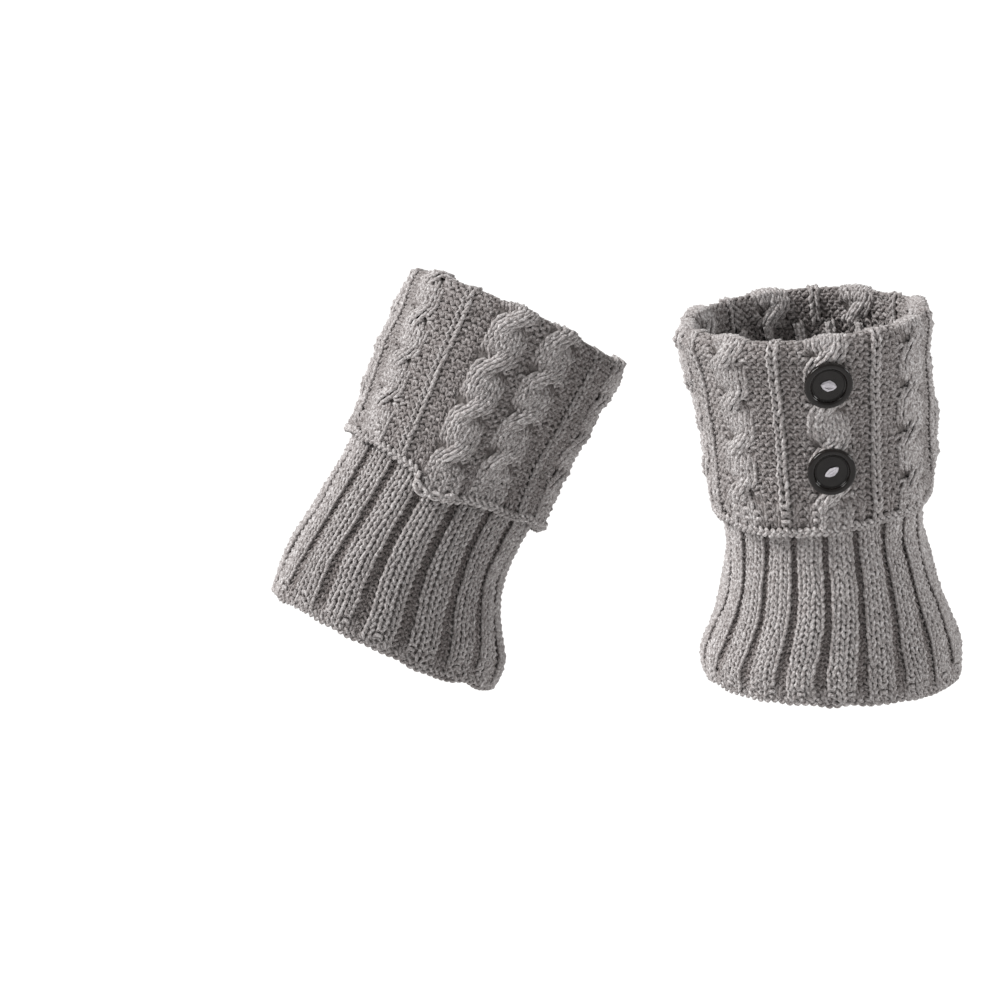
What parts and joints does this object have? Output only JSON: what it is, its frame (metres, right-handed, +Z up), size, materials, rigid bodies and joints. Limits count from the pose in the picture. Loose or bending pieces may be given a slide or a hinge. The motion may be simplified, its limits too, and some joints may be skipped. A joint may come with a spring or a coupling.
{
  "type": "pair of knitted boot cuffs",
  "caption": "Pair of ribbed knit ankle tubes, each with a deep cable-knit band turned down from the top and buttons sewn on its outer side.",
  "frame": {"origin": "centre of the leg at the left cuff's waist, its narrowest section, where the ankle holds it", "axes": "+Z up along the left leg, the wearer faces -Y, and the wearer's left is +X"},
  "size_m": [0.2687, 0.2727, 0.2069],
  "materials": {
    "grey_knit": "soft heathered wool-blend knit, matt and slightly hairy",
    "black_plastic": "polished moulded plastic",
    "white_thread": "matt sewing thread"
  },
  "bodies": {
    "root": {"left_rib_tube": "grey_knit", "left_cable_band": "grey_knit", "left_upper_button": "black_plastic", "left_lower_button": "black_plastic", "right_rib_tube": "grey_knit", "right_cable_band": "grey_knit", "right_upper_button": "black_plastic", "right_lower_button": "black_plastic"}
  },
  "joints": []
}
